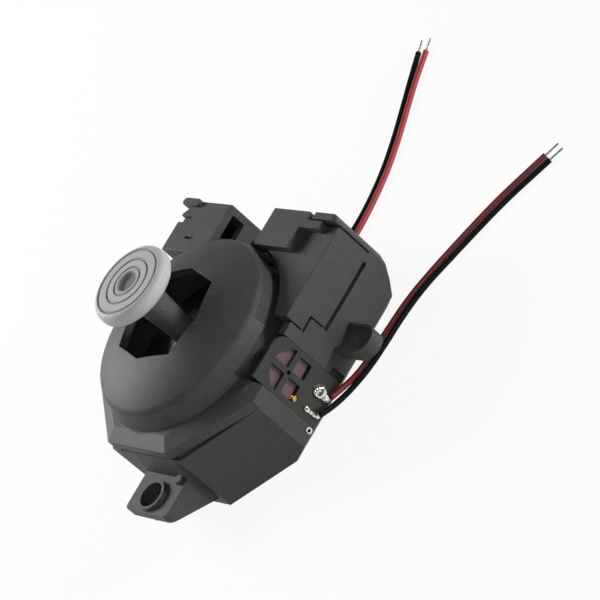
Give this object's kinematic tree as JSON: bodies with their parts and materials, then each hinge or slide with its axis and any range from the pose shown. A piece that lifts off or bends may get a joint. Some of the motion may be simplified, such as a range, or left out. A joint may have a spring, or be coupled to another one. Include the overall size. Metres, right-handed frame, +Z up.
{
  "type": "controller analog stick",
  "caption": "Thumb stick module: ringed cap on a ball-footed stick, domed collar with an octagonal gate, crossed rockers, geared code wheels, sensor boards, ears and loose wire leads.",
  "frame": {"origin": "on the stick's axis, in the plane of the base's underside", "axes": "+Z up along the stick; +X out of the side face with the taller sensor board; +Y towards the raised corner, the side tower and the rear wires"},
  "size_m": [0.0606, 0.1002, 0.0328],
  "materials": {
    "black_case": "finely eroded matte black moulding",
    "grey_stick": "matte mid grey moulding",
    "white_acetal": "slippery off-white moulding",
    "black_disc": "smooth black moulding",
    "black_wheel": "black slotted moulding",
    "dark_red_filter": "dark red translucent sheet",
    "board": "dark olive resin board",
    "sensor_black": "black epoxy",
    "solder": "bright tinned metal",
    "brass": "bright brass",
    "steel": "plain steel",
    "dark_red_wire": "dark red insulation",
    "red_wire": "red insulation",
    "black_wire": "black insulation"
  },
  "bodies": {
    "housing": {"ball_bowl": "white_acetal", "bare_end_black_x": "solder", "bare_end_black_y": "solder", "bare_end_red_x": "solder", "bare_end_red_y": "solder", "base_housing": "black_case", "brass_contact": "brass", "case_screws": "steel", "detector_x": "sensor_black", "detector_y": "sensor_black", "emitter_x": "sensor_black", "emitter_y": "sensor_black", "eyelet": "solder", "geared_keeper_x": "white_acetal", "geared_keeper_y": "white_acetal", "inner_board_x": "board", "inner_board_y": "board", "plain_keeper_x": "white_acetal", "plain_keeper_y": "white_acetal", "side_board_x": "board", "side_board_y": "board", "side_tower_shell": "black_case", "solder_joints_x": "solder", "solder_joints_y": "solder", "top_cover": "black_case", "upper_corner_shell": "black_case", "window_filter": "dark_red_filter", "wire_black_x": "black_wire", "wire_black_y": "black_wire", "wire_red_x": "dark_red_wire", "wire_red_y": "red_wire"},
    "rocker_x": {"rocker_x": "white_acetal"},
    "stick": {"stick": "grey_stick", "dust_disc": "black_disc", "spring_seat": "white_acetal", "centring_spring": "steel"},
    "rocker_y": {"rocker_y": "white_acetal"},
    "code_wheel_x": {"code_wheel_x": "black_wheel"},
    "code_wheel_y": {"code_wheel_y": "black_wheel"}
  },
  "joints": [
    {"name": "rocker_x_turn", "type": "hinge", "parent": "housing", "child": "rocker_x", "pos_m": [0, 0, 0.0052], "axis": [1, 0, 0], "range_deg": [-14, 14], "stiffness_Nm_per_rad": 0.05},
    {"name": "stick_tilt", "type": "hinge", "parent": "rocker_x", "child": "stick", "pos_m": [0, 0, 0.0052], "axis": [0, 1, 0], "range_deg": [-14, 14], "stiffness_Nm_per_rad": 0.05},
    {"name": "rocker_y_turn", "type": "hinge", "parent": "housing", "child": "rocker_y", "pos_m": [0, 0, 0.0052], "axis": [0, 1, 0], "range_deg": [-14.2, 14.2]},
    {"name": "code_wheel_x_spin", "type": "hinge", "parent": "housing", "child": "code_wheel_x", "pos_m": [0, -0.0009, 0.0114], "axis": [1, 0, 0], "range_deg": [-42.5, 42.5]},
    {"name": "code_wheel_y_spin", "type": "hinge", "parent": "housing", "child": "code_wheel_y", "pos_m": [-0.0009, 0, 0.0114], "axis": [0, 1, 0], "range_deg": [-42.5, 42.5]}
  ],
  "couplings": [
    {"joint": "rocker_y_turn", "follows": "stick_tilt", "ratio": 1},
    {"joint": "code_wheel_x_spin", "follows": "rocker_x_turn", "ratio": -3},
    {"joint": "code_wheel_y_spin", "follows": "stick_tilt", "ratio": -3}
  ]
}
